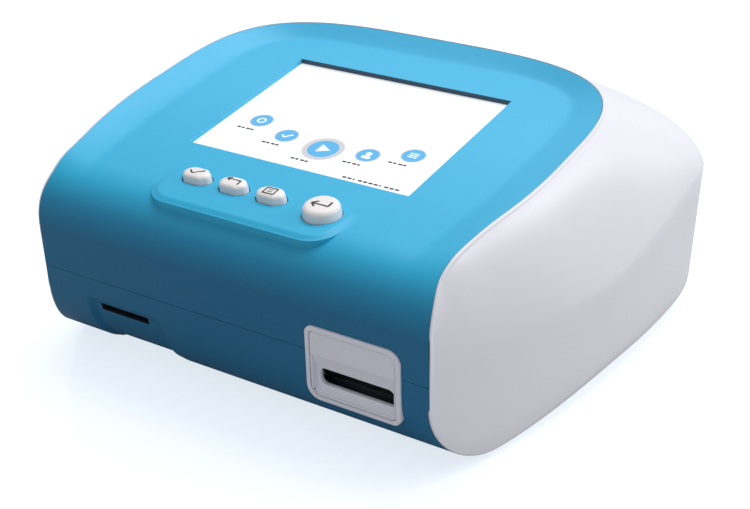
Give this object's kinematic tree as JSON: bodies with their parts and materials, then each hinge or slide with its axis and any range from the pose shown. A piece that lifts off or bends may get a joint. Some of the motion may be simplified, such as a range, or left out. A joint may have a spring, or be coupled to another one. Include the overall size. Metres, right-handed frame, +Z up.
{
  "type": "test cartridge analyser",
  "caption": "Benchtop analyser with a blue dished top holding a tilted touch screen and keys, a cartridge slot in the front, and a white housing with bulging cheeks.",
  "frame": {"origin": "centre of the bounding box's bottom face, on the table under the middle of the case", "axes": "+X to the user's right, +Y from the front face to the rear, +Z up"},
  "size_m": [0.27, 0.2316, 0.1135],
  "materials": {
    "blue_cover": "satin moulded ABS",
    "white_case": "satin moulded ABS",
    "light_grey": "satin moulded ABS",
    "key_white": "satin moulded plastic",
    "dark_plastic": "black moulded plastic",
    "screen_glass": "glossy touch glass with the display lit behind it",
    "steel": "plain steel",
    "board_green": "solder mask on glass-fibre board",
    "gold": "brass",
    "rubber": "black rubber",
    "paper": null
  },
  "bodies": {
    "case": {"upper_cover": "blue_cover", "lower_front_cover": "blue_cover", "rear_housing": "white_case", "base_plate": "white_case", "foot_front_left": "rubber", "foot_front_right": "rubber", "foot_rear_left": "rubber", "foot_rear_right": "rubber", "base_screw_front_left": "steel", "base_screw_front_right": "steel", "base_screw_rear_left": "steel", "base_screw_rear_right": "steel", "slot_surround": "light_grey", "slot_face_plate": "light_grey", "socket_plate": "light_grey", "card_reader_board": "board_green", "card_socket": "steel", "card_contacts": "gold", "touch_glass": "screen_glass", "display_gasket": "rubber", "display_module": "steel", "display_bracket": "steel", "qc_key_switch": "dark_plastic", "return_key_switch": "dark_plastic", "print_key_switch": "dark_plastic", "enter_key_switch": "dark_plastic", "keypad_board": "board_green", "main_board": "board_green", "power_supply": "board_green", "detector_board": "board_green", "speaker": "dark_plastic", "scan_chassis": "steel", "guide_rod_left": "steel", "guide_rod_right": "steel", "scan_motor": "steel", "optical_head": "dark_plastic", "lens_barrel": "steel", "home_sensor": "dark_plastic", "printer_frame": "dark_plastic", "print_head": "steel", "tear_bar": "steel", "printer_motor": "steel", "power_inlet": "dark_plastic", "switch_frame": "dark_plastic", "usb_socket": "steel", "serial_socket": "steel"},
    "printer_lid": {"printer_lid": "white_case", "lid_hinge_pin": "steel"},
    "platen": {"platen_roller": "rubber", "platen_gear": "key_white"},
    "motor_pinion": {"motor_pinion": "gold"},
    "paper_roll": {"paper_roll": "paper"},
    "carrier": {"cartridge_carrier": "dark_plastic", "screw_nut": "gold"},
    "lead_screw": {"lead_screw": "steel"},
    "power_rocker": {"power_rocker": "rubber"},
    "qc_key": {"qc_key": "key_white"},
    "return_key": {"return_key": "key_white"},
    "print_key": {"print_key": "key_white"},
    "enter_key": {"enter_key": "key_white"}
  },
  "joints": [
    {"name": "qc_key_press", "type": "slide", "parent": "case", "child": "qc_key", "axis": [0, 0.1196, -0.9928], "range_m": [0, 0.0012], "stiffness_N_per_m": 400, "springref_m": -0.002},
    {"name": "return_key_press", "type": "slide", "parent": "case", "child": "return_key", "axis": [0, 0.1196, -0.9928], "range_m": [0, 0.0012], "stiffness_N_per_m": 400, "springref_m": -0.002},
    {"name": "print_key_press", "type": "slide", "parent": "case", "child": "print_key", "axis": [0, 0.1196, -0.9928], "range_m": [0, 0.0012], "stiffness_N_per_m": 400, "springref_m": -0.002},
    {"name": "enter_key_press", "type": "slide", "parent": "case", "child": "enter_key", "axis": [0, 0.1196, -0.9928], "range_m": [0, 0.0012], "stiffness_N_per_m": 400, "springref_m": -0.002},
    {"name": "carrier_travel", "type": "slide", "parent": "case", "child": "carrier", "axis": [0, 1, 0], "range_m": [0, 0.04]},
    {"name": "lead_screw_spin", "type": "hinge", "parent": "case", "child": "lead_screw", "pos_m": [0.06525, -0.0548, 0.02], "axis": [0, -1, 0], "range_deg": [0, 1801]},
    {"name": "printer_lid_hinge", "type": "hinge", "parent": "case", "child": "printer_lid", "pos_m": [0, 0.1048, 0.0866], "axis": [-1, 0, 0], "range_deg": [0, 75]},
    {"name": "paper_roll_spin", "type": "hinge", "parent": "case", "child": "paper_roll", "pos_m": [0, 0.0897, 0.0728], "axis": [1, 0, 0], "continuous": true},
    {"name": "platen_spin", "type": "hinge", "parent": "case", "child": "platen", "pos_m": [0, 0.0756, 0.096], "axis": [1, 0, 0], "continuous": true},
    {"name": "motor_pinion_spin", "type": "hinge", "parent": "case", "child": "motor_pinion", "pos_m": [0, 0.0756, 0.08785], "axis": [1, 0, 0], "continuous": true},
    {"name": "power_rocker_tilt", "type": "hinge", "parent": "case", "child": "power_rocker", "pos_m": [0.021, 0.1052, 0.033], "axis": [-1, 0, 0], "range_deg": [0, 16]}
  ],
  "couplings": [
    {"joint": "lead_screw_spin", "follows": "carrier_travel", "rad_per_m": 785.4},
    {"joint": "platen_spin", "follows": "paper_roll_spin", "ratio": 4.4444},
    {"joint": "motor_pinion_spin", "follows": "paper_roll_spin", "ratio": -7.4074}
  ]
}
